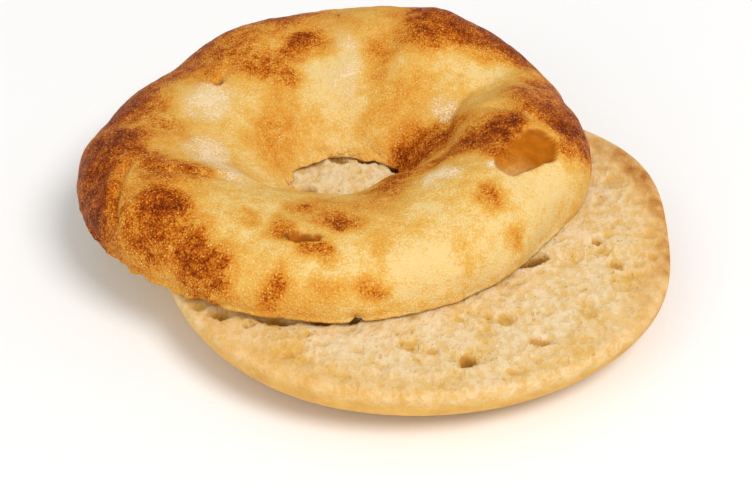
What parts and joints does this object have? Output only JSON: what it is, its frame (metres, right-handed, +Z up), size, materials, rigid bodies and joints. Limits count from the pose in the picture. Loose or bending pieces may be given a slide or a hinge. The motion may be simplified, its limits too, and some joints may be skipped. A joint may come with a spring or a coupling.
{
  "type": "sliced ring bagel",
  "caption": "Ring bagel cut across, its crusty upper half resting cut face down, slid back and left, on the lower half that lies cut face up.",
  "frame": {"origin": "middle of the bounding box in plan, on the surface that the lower half stands on", "axes": "+Z up, out of the cut face of the lower half; +Y towards the side that the upper half has slid to; +X to the side where the lower half shows most"},
  "size_m": [0.1262, 0.131, 0.032],
  "materials": {
    "crust": "baked crust, pale gold with toasted brown patches, floury hollows and fine blisters",
    "crumb": "matt cream crumb with small pits, thin pale gold crust round the side and on the foot"
  },
  "bodies": {
    "root": {"upper_half": "crust", "lower_half": "crumb"}
  },
  "joints": []
}
